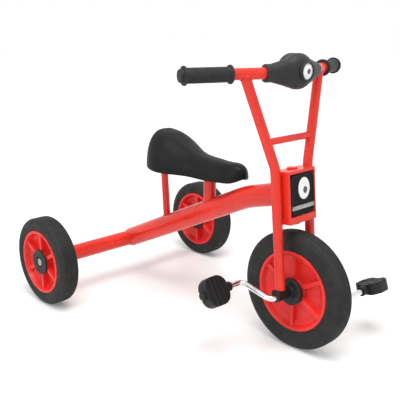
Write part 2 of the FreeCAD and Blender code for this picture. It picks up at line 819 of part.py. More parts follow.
def build():
    """Every sub-part of the tricycle, by name."""
    front_tyre = tyre(front_wheel_r, front_tyre_w, front_lip_r, front_lip_half)
    parts = {
        "backbone": backbone(),
        "head_tube": head_tube(),
        "head_bush_upper": head_bush(True),
        "head_bush_lower": head_bush(False),
        "rear_axle_tube": axle_tube(),
        "rear_axle": rear_axle(),
        "seat_post": standing_tube(post_r, post_back, post_back),
        "rear_strut": standing_tube(strut_r, strut_back - strut_lean, strut_back),
        "seat_plate": seat_plate(),
        "saddle": saddle(),
        "upper_crown": crown(crown_up, crown_t),
        "lower_crown": crown(crown_low, lower_crown_t),
        "kingpin": kingpin(),
        "kingpin_nut": kingpin_nut(),
        "head_cover": head_cover(),
        "fork_brace": fork_brace(),
        "handlebar": handlebar(bar_r),
        "lamp_housing": lamp_housing(),
        "lamp_lens": lamp_lens(),
        "front_tyre": at_wheel(front_tyre, 0, front_y, front_wheel_r),
        "front_rim": at_wheel(rim(front_lip_r, front_lip_half), 0, front_y, front_wheel_r),
        "crank": crank(),
    }
    for name, side in (("left", 1), ("right", -1)):
        parts["fork_leg_" + name] = fork_leg(side)
        parts["head_cheek_" + name] = cheek(side)
        parts["front_bearing_" + name] = front_bearing(side)
        parts["grip_" + name] = grip(side)
        parts["front_hub_" + name] = at_wheel(front_hub(side), 0, front_y, front_wheel_r)
        parts["pedal_" + name] = pedal(side)
        parts["pedal_cap_" + name] = pedal_cap(side)
        parts["axle_bush_" + name] = axle_bush(side)
        parts["axle_nut_" + name] = axle_nut(side)
        for piece, shape in rear_wheel(side).items():
            parts[piece + "_" + name] = shape
    return parts


for node, solid in build().items():
    state = "valid" if solid.isValid() else "NOT VALID"
    print(node, state, len(solid.Solids), round(solid.Volume / 1000.0, 2), "cm3")
    solid.exportStep("parts/" + node + ".step")
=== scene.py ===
import json
import math
import bmesh
import bpy
import numpy as np
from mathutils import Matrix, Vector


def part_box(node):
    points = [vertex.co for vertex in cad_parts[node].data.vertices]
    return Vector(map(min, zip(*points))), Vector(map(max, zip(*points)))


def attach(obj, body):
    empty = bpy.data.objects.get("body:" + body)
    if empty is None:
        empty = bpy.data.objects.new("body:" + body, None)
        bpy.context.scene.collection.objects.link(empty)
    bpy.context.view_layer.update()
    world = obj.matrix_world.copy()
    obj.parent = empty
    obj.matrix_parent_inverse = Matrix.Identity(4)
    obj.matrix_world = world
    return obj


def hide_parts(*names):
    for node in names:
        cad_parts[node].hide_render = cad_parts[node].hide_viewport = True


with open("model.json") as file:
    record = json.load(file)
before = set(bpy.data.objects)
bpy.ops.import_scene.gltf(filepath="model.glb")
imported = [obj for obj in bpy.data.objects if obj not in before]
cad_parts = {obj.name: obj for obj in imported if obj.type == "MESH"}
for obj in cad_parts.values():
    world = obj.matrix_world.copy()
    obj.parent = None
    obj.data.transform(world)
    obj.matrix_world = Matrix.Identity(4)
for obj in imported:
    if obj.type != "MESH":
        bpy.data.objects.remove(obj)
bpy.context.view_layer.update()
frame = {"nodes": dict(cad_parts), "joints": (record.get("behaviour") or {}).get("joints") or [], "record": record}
nodes = frame["nodes"]
bodyOf = {node: body for body, members in frame["record"]["behaviour"]["bodies"].items() for node in members}
jointAt = {joint["name"]: np.array(joint["pos_m"]) for joint in frame["joints"]}
steeringAxis = next(np.array(joint["axis"]) for joint in frame["joints"] if joint["name"] == "steering")
frontAxle = jointAt["front_wheel_spin"]
mm = 0.001
sameSpot = 0.01 * mm  # points nearer than this become one
tiny = 1e-9
across = np.array([1.0, 0.0, 0.0])
forkBack = np.cross(steeringAxis, across)  # to the rear, square to the steering axis


def onFork(x, up, ahead):
    # places in mm drawn about an upright steering axis, leant to the real one at the front axle
    drawn = np.stack(np.broadcast_arrays(x, up, ahead), axis=-1) * mm
    return frontAxle + drawn[..., :1] * across + drawn[..., 1:2] * steeringAxis - drawn[..., 2:] * forkBack


# Shapes: every new piece is one or more grids of points

def surface(points, closeRows=False):
    # quads between neighbouring rows; each row closes on itself, and the last row on the first where asked
    rows, columns = points.shape[:2]
    row = np.arange(rows if closeRows else rows - 1)[:, None]
    column = np.arange(columns)[None, :]
    below, beside = (row + 1) % rows * columns, (column + 1) % columns
    quads = (row * columns + column, row * columns + beside, below + beside, below + column)
    return points.reshape(-1, 3), np.stack(quads, axis=-1).reshape(-1, 4)


def capped(points):
    # a row at the middle of each end closes the surface there
    ends = [np.broadcast_to(row.mean(axis=0), row.shape) for row in (points[0], points[-1])]
    return np.concatenate([ends[:1], points, ends[1:]])


def makePiece(name, surfaces, look, body, replaced=(), crease=38):
    # one mesh from several grids: seams and poles closed, faces outwards, sharp above the crease angle
    starts = np.cumsum([0] + [len(points) for points, quads in surfaces])
    points = np.concatenate([points for points, quads in surfaces])
    quads = np.concatenate([quads + start for (_, quads), start in zip(surfaces, starts)])
    mesh = bpy.data.meshes.new(name)
    mesh.from_pydata(points, [], quads)
    shell = bmesh.new()
    shell.from_mesh(mesh)
    bmesh.ops.remove_doubles(shell, verts=shell.verts, dist=sameSpot)
    bmesh.ops.recalc_face_normals(shell, faces=shell.faces)
    shell.to_mesh(mesh)
    shell.free()
    mesh.shade_smooth()
    mesh.set_sharp_from_angle(angle=math.radians(crease))
    mesh.materials.append(look)
    piece = bpy.data.objects.new(name, mesh)
    bpy.context.scene.collection.objects.link(piece)
    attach(piece, body)
    if replaced:
        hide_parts(*replaced)
    return piece


def squareTo(axis):
    # an axis at length one, and two unit vectors square to it and to each other
    axis = axis / np.linalg.norm(axis)
    helper = np.array([0.0, 0.0, 1.0]) if abs(axis[2]) < 0.9 else np.array([0.0, 1.0, 0.0])
    first = np.cross(helper, axis)
    first /= np.linalg.norm(first)
    return axis, first, np.cross(axis, first)


def lathe(profile, origin, axis, steps=96, wave=None):
    # origin + along * axis + radius * (cos(turn) * u + sin(turn) * v); a wave changes the radius by place and turn
    axis, first, second = squareTo(np.array(axis, float))
    turn = np.linspace(0, 2 * math.pi, steps, endpoint=False)
    ring = np.cos(turn)[:, None] * first + np.sin(turn)[:, None] * second
    along, radius = np.array(profile).T
    radius = radius[:, None] + (wave(along[:, None], radius[:, None], turn) if wave else 0 * turn)
    return origin + along[:, None, None] * axis + radius[:, :, None] * ring


def mirrored(side):
    # half of an outline and its mirror image, run back
    return side + [(-x, r) for x, r in reversed(side)]


def roundOutline(corners, radii, steps=6):
    # a closed outline whose corners are arcs: each centre lies on the bisector, at radius / sin(half the angle)
    corners = np.array(corners, float)
    radii = np.broadcast_to(np.array(radii, float), len(corners))[:, None]
    before, after = np.roll(corners, 1, axis=0) - corners, np.roll(corners, -1, axis=0) - corners
    before /= np.linalg.norm(before, axis=1, keepdims=True)
    after /= np.linalg.norm(after, axis=1, keepdims=True)
    half = np.arccos(np.clip((before * after).sum(axis=1, keepdims=True), -1, 1)) / 2
    middle = (before + after) / np.linalg.norm(before + after, axis=1, keepdims=True)
    centre = corners + middle * radii / np.sin(half)
    fromCentre = corners + before * radii / np.tan(half) - centre
    toCentre = corners + after * radii / np.tan(half) - centre
    turn, share = (math.pi - 2 * half)[:, None, :], np.linspace(0, 1, steps)[None, :, None]
    arc = np.sin((1 - share) * turn) * fromCentre[:, None] + np.sin(share * turn) * toCentre[:, None]
    return (centre[:, None] + arc / np.sin(turn)).reshape(-1, 2)


def evenly(outline, step):
    # points along a closed outline no further apart than a step, its own points kept
    closed = np.concatenate([outline, outline[:1]])
    length = np.concatenate([[0], np.cumsum(np.linalg.norm(np.diff(closed, axis=0), axis=1))])
    keep = np.concatenate([[True], np.diff(length) > tiny])
    closed, length = closed[keep], length[keep]
    places = np.unique(np.concatenate([length, np.arange(0, length[-1], step)]))[:-1]
    return np.stack([np.interp(places, length, closed[:, k]) for k in (0, 1)], axis=-1)


def pulses(value, places, wide):
    # one where a value is at a place, and less beside it: exp(-(distance / wide) ^ 4), added up
    return np.exp(-((value[:, None] - places) / wide) ** 4).sum(axis=1)


def throughPoints(at, values, where):
    # natural cubic spline: the second slopes solve one linear system, and each stretch is a cubic
    at, values = np.array(at), np.array(values)
    gap = np.diff(at)
    slope = np.diff(values, axis=0) / gap[:, None]
    inner = np.arange(1, len(at) - 1)
    system, right = np.eye(len(at)), np.zeros_like(values)
    system[inner, inner] = 2 * (gap[:-1] + gap[1:])
    system[inner, inner - 1], system[inner, inner + 1] = gap[:-1], gap[1:]
    right[inner] = 6 * np.diff(slope, axis=0)
    bend = np.linalg.solve(system, right)
    part = np.clip(np.searchsorted(at, where) - 1, 0, len(gap) - 1)
    step, wide = (where - at[part])[:, None], gap[part][:, None]
    linear = slope[part] - wide * (2 * bend[part] + bend[part + 1]) / 6
    cubic = step ** 3 * (bend[part + 1] - bend[part]) / (6 * wide)
    return values[part] + step * linear + step ** 2 * bend[part] / 2 + cubic


def clampedBasis(poleCount, at, degree=3):
    # weights of a clamped B-spline's poles at each place from 0 to 1, by the usual recursion
    knots = np.concatenate([np.zeros(degree), np.linspace(0, 1, poleCount - degree + 1), np.ones(degree)])
    at = np.clip(at, 0, 1 - tiny)[:, None]
    weights = ((at >= knots[:-1]) & (at < knots[1:])).astype(float)
    for order in range(1, degree + 1):
        left, right = knots[order:-1] - knots[:-order - 1], knots[order + 1:] - knots[1:-order]
        rising = (at - knots[:-order - 1]) / np.where(left > 0, left, 1) * (left > 0)
        falling = (knots[order + 1:] - at) / np.where(right > 0, right, 1) * (right > 0)
        weights = rising * weights[:, :-1] + falling * weights[:, 1:]
    return weights


def bead(curve, radius, ripple, ripples=40, sides=8):
    # a round string of weld along a closed curve: circles square to it, of one radius or one each, swelling on the way
    ahead = np.roll(curve, -1, axis=0) - np.roll(curve, 1, axis=0)
    ahead /= np.linalg.norm(ahead, axis=1, keepdims=True)
    outward = curve - curve.mean(axis=0)
    outward -= (outward * ahead).sum(axis=1, keepdims=True) * ahead
    outward /= np.linalg.norm(outward, axis=1, keepdims=True)
    beside = np.cross(ahead, outward)
    turn = np.linspace(0, 2 * math.pi, sides, endpoint=False)[None, :, None]
    swell = 1 + ripple * np.sin(np.arange(len(curve)) * 2 * math.pi * ripples / len(curve))[:, None, None]
    points = curve[:, None] + radius * swell * (np.cos(turn) * outward[:, None] + np.sin(turn) * beside[:, None])
    return surface(points, closeRows=True)


# Finishes: colour drifts, roughness and grain come from noise on object coordinates.
# A noise's size is its scale per metre, and a grain's depth is in metres.

def addNode(look, kind, inputs=(), **settings):
    node = look.node_tree.nodes.new(kind)
    for name, value in settings.items():
        setattr(node, name, value)
    for name, value in dict(inputs).items():
        if isinstance(value, bpy.types.NodeSocket):
            look.node_tree.links.new(value, node.inputs[name])
        else:
            node.inputs[name].default_value = value
    return node


def newLook(name, values):
    look = bpy.data.materials.new(name)
    look.use_nodes = True
    shader = look.node_tree.nodes["Principled BSDF"]
    for socket, value in values.items():
        shader.inputs[socket].default_value = value
    return look, shader, addNode(look, "ShaderNodeTexCoord").outputs["Object"]


def noiseOf(look, place, scale, detail=3.0, roughness=0.5):
    inputs = {"Vector": place, "Scale": scale, "Detail": detail, "Roughness": roughness}
    return addNode(look, "ShaderNodeTexNoise", inputs).outputs["Fac"]


def between(look, value, low, high, toLow=0.0, toHigh=1.0):
    inputs = {"Value": value, "From Min": low, "From Max": high, "To Min": toLow, "To Max": toHigh}
    return addNode(look, "ShaderNodeMapRange", inputs).outputs["Result"]


def cloudy(look, place, scale, rough):
    # roughness that drifts between two values
    return between(look, noiseOf(look, place, scale), 0.3, 0.7, *rough)


def mathOf(look, operation, first, second):
    return addNode(look, "ShaderNodeMath", {0: first, 1: second}, operation=operation).outputs[0]


def lengthOf(look, place):
    return addNode(look, "ShaderNodeVectorMath", {0: place}, operation="LENGTH").outputs["Value"]


def stretched(look, place, scale):
    return addNode(look, "ShaderNodeMapping", {"Vector": place, "Scale": scale}).outputs["Vector"]


def mixed(look, share, first, second):
    # colour between two, by a share; each may be a colour or a socket
    node = addNode(look, "ShaderNodeMix", {0: share}, data_type="RGBA")
    for index, colour in ((6, first), (7, second)):
        if isinstance(colour, bpy.types.NodeSocket):
            look.node_tree.links.new(colour, node.inputs[index])
        else:
            node.inputs[index].default_value = (*colour, 1)
    return node.outputs[2]


def bumped(look, height, depth, strength):
    inputs = {"Height": height, "Distance": depth, "Strength": strength}
    return addNode(look, "ShaderNodeBump", inputs).outputs["Normal"]


def connect(look, shader, **sockets):
    for name, source in sockets.items():
        look.node_tree.links.new(source, shader.inputs[name.replace("_", " ")])


def paintLook():
    # glossy powder coat: orange peel, a slight drift of the red, and a few rubbed places
    paint = dict(bright=(0.83, 0.034, 0.018), deep=(0.72, 0.026, 0.014), rubbed=(0.80, 0.065, 0.045), drift=9,
                 scratch=160, scratchStretch=(1.0, 0.35, 1.0), scratchFrom=0.72, scratchTo=0.84, mostRubbed=0.2,
                 cloud=34, rough=(0.24, 0.36), peel=620, peelDeep=0.12 * mm, peelStrength=0.35)
    look, shader, place = newLook("redPaint", {"Coat Weight": 0.18, "Coat Roughness": 0.10, "Specular IOR Level": 0.30})
    drift = between(look, noiseOf(look, place, paint["drift"]), 0.35, 0.65)
    red = mixed(look, drift, paint["deep"], paint["bright"])
    scratch = noiseOf(look, stretched(look, place, paint["scratchStretch"]), paint["scratch"], 6, 0.7)
    scuff = between(look, scratch, paint["scratchFrom"], paint["scratchTo"], 0, paint["mostRubbed"])
    peel = noiseOf(look, place, paint["peel"], 1)
    connect(look, shader, Base_Color=mixed(look, scuff, red, paint["rubbed"]),
            Roughness=cloudy(look, place, paint["cloud"], paint["rough"]),
            Normal=bumped(look, peel, paint["peelDeep"], paint["peelStrength"]))
    return look


def rimLook():
    # moulded red plastic: fine spark-eroded grain, flow marks in the colour, dull where it was handled
    rim = dict(bright=(0.88, 0.034, 0.028), deep=(0.70, 0.024, 0.020), flow=21, cloud=70, rough=(0.30, 0.48),
               grain=1900, grainDeep=0.05 * mm, grainStrength=0.5)
    look, shader, place = newLook("redPlastic", {"Specular IOR Level": 0.35, "Subsurface Weight": 0.04,
                                                 "Subsurface Radius": (0.004, 0.001, 0.001)})
    flow = between(look, noiseOf(look, place, rim["flow"], 4, 0.6), 0.35, 0.68)
    connect(look, shader, Base_Color=mixed(look, flow, rim["deep"], rim["bright"]),
            Roughness=cloudy(look, place, rim["cloud"], rim["rough"]),
            Normal=bumped(look, noiseOf(look, place, rim["grain"], 2), rim["grainDeep"], rim["grainStrength"]))
    return look


def blackPlasticLook(name, dark, pale, cell=900, depth=0.10 * mm, shine=0.24):
    # dark moulded plastic with a pebbled grain, paler where dust lies in it
    plastic = dict(dust=14, cloud=55, rough=(0.40, 0.56), strength=0.6)
    look, shader, place = newLook(name, {"Specular IOR Level": shine})
    pebble = addNode(look, "ShaderNodeTexVoronoi", {"Vector": place, "Scale": cell, "Randomness": 1.0},
                     feature="SMOOTH_F1").outputs["Distance"]
    dust = between(look, noiseOf(look, place, plastic["dust"], 4), 0.35, 0.7)
    connect(look, shader, Base_Color=mixed(look, dust, dark, pale),
            Roughness=cloudy(look, place, plastic["cloud"], plastic["rough"]),
            Normal=bumped(look, pebble, depth, plastic["strength"]))
    return look


def rubberLook(name, dark, pale, rough):
    # matt rubber: very fine tooth, cloudy bloom on the surface
    rubber = dict(bloom=30, cloud=90, tooth=1500, toothDeep=0.09 * mm, strength=0.5)
    look, shader, place = newLook(name, {"Specular IOR Level": 0.26})
    bloom = between(look, noiseOf(look, place, rubber["bloom"], 5, 0.6), 0.4, 0.72)
    connect(look, shader, Base_Color=mixed(look, bloom, dark, pale),
            Roughness=cloudy(look, place, rubber["cloud"], rough),
            Normal=bumped(look, noiseOf(look, place, rubber["tooth"], 3), rubber["toothDeep"], rubber["strength"]))
    return look


def tyreLook(name, axle, radius):
    # rubber whose tread is paler with floor dust, by the distance from its axle
    tyre = dict(dark=(0.016, 0.0165, 0.016), pale=(0.027, 0.028, 0.027), dust=(0.052, 0.050, 0.046), reach=5 * mm,
                bloom=26, speck=240, mostDust=0.4, cloud=80, rough=(0.55, 0.74), tooth=1300, toothDeep=0.10 * mm,
                strength=0.5)
    look, shader, place = newLook(name, {"Specular IOR Level": 0.25})
    offset = addNode(look, "ShaderNodeMapping", {"Vector": place, "Location": -axle, "Scale": (0, 1, 1)})
    tread = between(look, lengthOf(look, offset.outputs["Vector"]), radius - tyre["reach"], radius)
    bloom = between(look, noiseOf(look, place, tyre["bloom"], 5, 0.6), 0.4, 0.72)
    speck = between(look, noiseOf(look, place, tyre["speck"], 5, 0.7), 0.48, 0.66, 0, tyre["mostDust"])
    rubber = mixed(look, bloom, tyre["dark"], tyre["pale"])
    connect(look, shader, Base_Color=mixed(look, mathOf(look, "MULTIPLY", tread, speck), rubber, tyre["dust"]),
            Roughness=cloudy(look, place, tyre["cloud"], tyre["rough"]),
            Normal=bumped(look, noiseOf(look, place, tyre["tooth"], 3), tyre["toothDeep"], tyre["strength"]))
    return look


def metalLook(name, colour, dull, rough, scale, streak):
    # bare or plated metal: stretched scratches, cloudy roughness and a slightly duller second tone
    metal = dict(cloud=60, scratchDeep=0.02 * mm, strength=0.4)
    look, shader, place = newLook(name, {"Metallic": 1.0})
    scratch = noiseOf(look, stretched(look, place, streak), scale, 4, 0.65)
    tone = between(look, noiseOf(look, place, metal["cloud"]), 0.4, 0.7)
    connect(look, shader, Base_Color=mixed(look, tone, colour, dull),
            Roughness=between(look, scratch, 0.3, 0.7, *rough),
            Normal=bumped(look, scratch, metal["scratchDeep"], metal["strength"]))
    return look


def clearLook(name, colour, shade, rough):
    # glossy lens plastic with a faint cloud in it and fine handling marks
    clear = dict(cloud=75, marks=300, grain=900, grainDeep=0.02 * mm, strength=0.3)
    look, shader, place = newLook(name, {"Specular IOR Level": 0.55, "Coat Weight": 0.4, "Coat Roughness": 0.08})
    cloud = between(look, noiseOf(look, place, clear["cloud"], 4), 0.4, 0.7)
    connect(look, shader, Base_Color=mixed(look, cloud, colour, shade),
            Roughness=between(look, noiseOf(look, place, clear["marks"], 5), 0.3, 0.7, *rough),
            Normal=bumped(look, noiseOf(look, place, clear["grain"], 1), clear["grainDeep"], clear["strength"]))
    return look


looks = {
    "red_paint": paintLook(),
    "red_plastic": rimLook(),
    "black_plastic": blackPlasticLook("blackPlastic", (0.010, 0.0105, 0.0105), (0.018, 0.019, 0.0185)),
    "grip_rubber": rubberLook("gripRubber", (0.017, 0.0175, 0.018), (0.029, 0.030, 0.030), (0.50, 0.68)),
    "tyre_rubber": rubberLook("tyreRubber", (0.016, 0.0165, 0.016), (0.027, 0.028, 0.027), (0.55, 0.74)),
    "chrome_steel": metalLook("chromeSteel", (0.80, 0.80, 0.81), (0.62, 0.62, 0.63), (0.10, 0.24), 700, (0.2, 1, 1)),
    "zinc_steel": metalLook("zincSteel", (0.40, 0.40, 0.39), (0.28, 0.28, 0.275), (0.32, 0.50), 260, (1, 1, 1)),
    "lens_plastic": clearLook("lensPlastic", (0.94, 0.95, 0.96), (0.88, 0.89, 0.90), (0.16, 0.28)),
}
saddleLook = blackPlasticLook("saddlePlastic", (0.0045, 0.0048, 0.0048), (0.0085, 0.009, 0.009), 520, 0.30 * mm, 0.16)
hubLook = blackPlasticLook("hubPlastic", (0.016, 0.0165, 0.0165), (0.026, 0.027, 0.027))
lampLook = blackPlasticLook("lampPlastic", (0.018, 0.019, 0.0185), (0.031, 0.032, 0.031), 800, 0.08 * mm)
coverLook = blackPlasticLook("coverPlastic", (0.0035, 0.0038, 0.0038), (0.0065, 0.007, 0.007), 900, 0.08 * mm, 0.12)
smokedLook = clearLook("smokedLens", (0.050, 0.054, 0.056), (0.032, 0.035, 0.037), (0.10, 0.18))
for entry in frame["record"]["subparts"]:
    for holder in nodes[entry["node"]].material_slots:
        holder.material = hubLook if entry["node"].startswith("front_hub") else looks[entry["material_slot"]]
print("stage: finishes on", len(nodes), "nodes")


# Wheels. Numbers in a piece's dictionary are mm, unless they say otherwise.

wheels = {
    "front": dict(axle=frontAxle, radius=125, width=42, lip=85, lipHalf=18.6, grooves=4,
                  tyre="front_tyre", rim="front_rim"),
    "rearLeft": dict(axle=jointAt["left_rear_wheel_spin"], radius=105, width=50, lip=76, lipHalf=22.8, grooves=5,
                     tyre="rear_tyre_left", rim="rear_rim_left"),
    "rearRight": dict(axle=jointAt["right_rear_wheel_spin"], radius=105, width=50, lip=76, lipHalf=22.8, grooves=5,
                      tyre="rear_tyre_right", rim="rear_rim_right"),
}


def makeTyre(name, wheel):
    # the section is a foot in the rim, leaning side walls and a tread; rings run round both, as pulses of depth
    tyre = dict(flange=4, channel=7, gap=0.3, overLip=3.2, drop=12, cut=6.5, rounding=[0.4, 0.3, 1.2, 14, 8],
                grooveDepth=1.3, grooveWide=0.9, ring=0.5, ringWide=0.8, ringFromLip=5, ringFromTread=20,
                step=0.4, around=168)
    half, lip, radius, flat = wheel["width"] / 2, wheel["lip"], wheel["radius"], wheel["width"] / 2 - tyre["cut"]
    foot = wheel["lipHalf"] - tyre["flange"] - tyre["gap"]
    seat = lip + tyre["gap"]
    corners = mirrored([(foot, lip - tyre["channel"] + tyre["gap"]), (foot, seat), (half - tyre["overLip"], seat),
                        (half, radius - tyre["drop"]), (flat, radius)])
    x, r = evenly(roundOutline(corners, tyre["rounding"] + tyre["rounding"][::-1], 8), tyre["step"]).T
    grooves = pulses(x, np.linspace(-flat, flat, wheel["grooves"] + 2)[1:-1], tyre["grooveWide"])
    r = r - tyre["grooveDepth"] * grooves * (r > radius - tyre["drop"])
    rings = pulses(r, np.array([lip + tyre["ringFromLip"], radius - tyre["ringFromTread"]]), tyre["ringWide"])
    x = x + np.sign(x) * tyre["ring"] * (rings * (np.abs(x) > foot + 1))
    points = lathe(np.stack([x, r], axis=-1) * mm, wheel["axle"], across, tyre["around"])
    look = tyreLook("tyre" + name[0].upper() + name[1:], wheel["axle"], radius * mm)
    makePiece(name + "Tyre", [surface(points, closeRows=True)], look, bodyOf[wheel["tyre"]],
              [wheel["tyre"]])


def makeRim(name, wheel):
    # web, bowl and lip by radius; each rib lifts the web to its own level between two steep walls
    rim = dict(flange=4, channel=7, lipFace=6, web=3.5, bowl=17, bend=0.3, left=0.3, hub=24, bore=16, setBack=4,
               ribs=6, ribBack=5, ribWide=9, ribSoft=0.35, step=1.6, rounding=[0, 0, 1.2, 1.4, 5, 5, 1.6, 1.4, 1.0],
               ribColumns=[0, 1.8, 3.2, 3.8, 4.1, 4.3, 4.5, 4.7, 4.9, 5.2, 5.8], clearColumns=7)
    lip, lipHalf, web = wheel["lip"], wheel["lipHalf"], rim["web"]
    inner, boss = lip - rim["lipFace"], lipHalf - rim["setBack"]
    floor = web + rim["left"] * (lipHalf - web)
    corners = mirrored([(lipHalf - rim["flange"], lip - rim["channel"]), (lipHalf - rim["flange"], lip), (lipHalf, lip),
                        (lipHalf, inner), (floor, inner - rim["bowl"] * rim["bend"]), (web, inner - rim["bowl"]),
                        (web, rim["hub"]), (boss, rim["hub"]), (boss, rim["bore"])])
    x, r = evenly(roundOutline(corners, rim["rounding"] + rim["rounding"][::-1], 7), rim["step"]).T
    # columns run evenly across half a rib, then evenly to half way between two ribs
    sector, aside, clear = math.pi / rim["ribs"], np.array(rim["ribColumns"]), rim["clearColumns"]
    onWall = np.arcsin(aside / r[:, None])
    offWall = onWall[:, -1:] + (sector - onWall[:, -1:]) * np.linspace(0, 1, clear + 1)[1:]
    half = np.concatenate([onWall, offWall], axis=1)
    lifted = np.concatenate([0.5 - 0.5 * np.tanh((aside - rim["ribWide"] / 2) / rim["ribSoft"]), np.zeros(clear)])
    turn = np.concatenate([-half[:, :0:-1], half], axis=1)[:, :-1]
    share = np.concatenate([lifted[:0:-1], lifted])[:-1]
    level = lipHalf - rim["ribBack"]
    onRib = (r > rim["hub"] - 0.1) & (r < inner + 0.1)
    raised = np.where(onRib & (np.abs(x) < level), level - np.abs(x), 0)[:, None] * share
    x = np.tile(x[:, None] + np.where(x > 0, 1, -1)[:, None] * raised, (1, rim["ribs"]))
    starts = np.arange(rim["ribs"]) * 2 * sector + math.pi / 2
    turn = (starts[None, :, None] + turn[:, None, :]).reshape(len(r), -1)
    points = np.stack([x, r[:, None] * np.cos(turn), r[:, None] * np.sin(turn)], axis=-1) * mm + wheel["axle"]
    makePiece(name + "Rim", [surface(points, closeRows=True)], looks["red_plastic"], bodyOf[wheel["rim"]],
              [wheel["rim"]], crease=50)


for name, wheel in wheels.items():
    makeTyre(name, wheel)
    makeRim(name, wheel)
print("stage: wheels")


# Saddle

saddle = dict(
    wall=5 * mm, edge=2.5 * mm, side=0.5, crown=0.55, tip=0.045, tipDrop=5 * mm, rows=150, around=72, edgeSteps=7,
    ribHalf=15 * mm, ribWall=4 * mm, ribInto=1 * mm, ribRows=40, plateTop=338 * mm, fromNose=81 * mm, fromTail=8 * mm,
    # share of the length, share of the half width, lower edge and crest as shares of the rise
    stations=[(0.00, 0.17, 0.15, 0.34), (0.05, 0.32, 0.07, 0.44), (0.15, 0.44, 0.02, 0.47), (0.32, 0.52, 0.00, 0.49),
              (0.50, 0.61, 0.02, 0.55), (0.64, 0.84, 0.03, 0.70), (0.78, 1.00, 0.04, 0.90), (0.90, 0.90, 0.08, 1.00),
              (0.97, 0.64, 0.13, 0.88), (1.00, 0.42, 0.17, 0.66)])


def saddleSkin(inset):
    # sections from nose to tail: poles of an upright side, a shoulder and a full crown, smoothed by a B-spline
    low, high = (np.array(corner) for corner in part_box("saddle"))
    share = 0.5 - 0.5 * np.cos(np.linspace(0, math.pi, saddle["rows"]))
    wide, bottom, crest = throughPoints([row[0] for row in saddle["stations"]],
                                        [row[1:] for row in saddle["stations"]], share).T
    end = np.clip(np.minimum(share, 1 - share) / saddle["tip"], 0, 1)
    rounded = np.sqrt(1 - (1 - end) ** 2)
    rise = high[2] - low[2]
    half = np.maximum(wide * (high[0] - low[0]) / 2 * rounded - inset * rounded, 0)
    bottom = low[2] + bottom * rise
    crest = low[2] + crest * rise - inset - saddle["tipDrop"] * (1 - rounded)
    along = low[1] + inset + share * (high[1] - low[1] - 2 * inset)
    base = bottom + saddle["edge"]
    shoulder = base + saddle["side"] * (crest - base)
    poles = np.stack([np.stack([x, along, z], axis=-1) for x, z in (
        (half, base), (half, shoulder), (half * saddle["crown"], crest), (0 * half, crest),
        (-half * saddle["crown"], crest), (-half, shoulder), (-half, base))], axis=1)
    return clampedBasis(7, np.linspace(0, 1, saddle["around"])) @ poles, bottom


def makeSaddle():
    # the outer and inner skins, joined by a half-round lower edge, and two ribs from the plate up into the shell
    outer, bottom = saddleSkin(0.0)
    inner, _ = saddleSkin(saddle["wall"])
    turn = np.linspace(0, math.pi, saddle["edgeSteps"])[1:-1, None]
    edges = []
    for outside, inside in ((outer[:, -1], inner[:, -1]), (inner[:, 0], outer[:, 0])):
        middle, reach = (outside + inside) / 2, (outside - inside) / 2
        depth = np.stack([0 * bottom, 0 * bottom, outside[:, 2] - bottom], axis=-1)
        edges.append(middle[:, None] + np.cos(turn) * reach[:, None] - np.sin(turn) * depth[:, None])
    grids = [surface(np.concatenate([outer, edges[0], inner[:, ::-1], edges[1]], axis=1))]
    crest = inner[:, inner.shape[1] // 2]
    low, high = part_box("saddle")
    length = np.linspace(low[1] + saddle["fromNose"], high[1] - saddle["fromTail"], saddle["ribRows"])
    top = np.interp(length, crest[:, 1], crest[:, 2]) + saddle["ribInto"]
    foot = 0 * top + saddle["plateTop"]
    for side in (-1, 1):
        middle, half = side * saddle["ribHalf"], saddle["ribWall"] / 2
        left, right = 0 * top + (middle - half), 0 * top + (middle + half)
        rib = np.stack([np.stack([x, length, z], axis=-1) for x, z in (
            (left, foot), (right, foot), (right, top), (left, top))], axis=1)
        grids.append(surface(capped(rib)))
    makePiece("saddleShell", grids, saddleLook, bodyOf["saddle"], ["saddle"], crease=50)


makeSaddle()
print("stage: saddle")


# Handlebar: grips, lamp and lens

bar = dict(radius=11 * mm, sleeveBore=11.15, sweep=math.radians(20.9), bend=130 * mm, legAt=121.4 * mm)
barBox = [np.array(corner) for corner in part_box("handlebar")]
barCrest = np.array([0, barBox[0][1] + bar["radius"], (barBox[0][2] + barBox[1][2]) / 2])
barApex = barCrest - np.array([0, bar["bend"] * (1 / math.cos(bar["sweep"]) - 1), 0])  # where the straight arms meet


def armDirection(side):
    return np.array([side * math.cos(bar["sweep"]), math.sin(bar["sweep"]), 0])


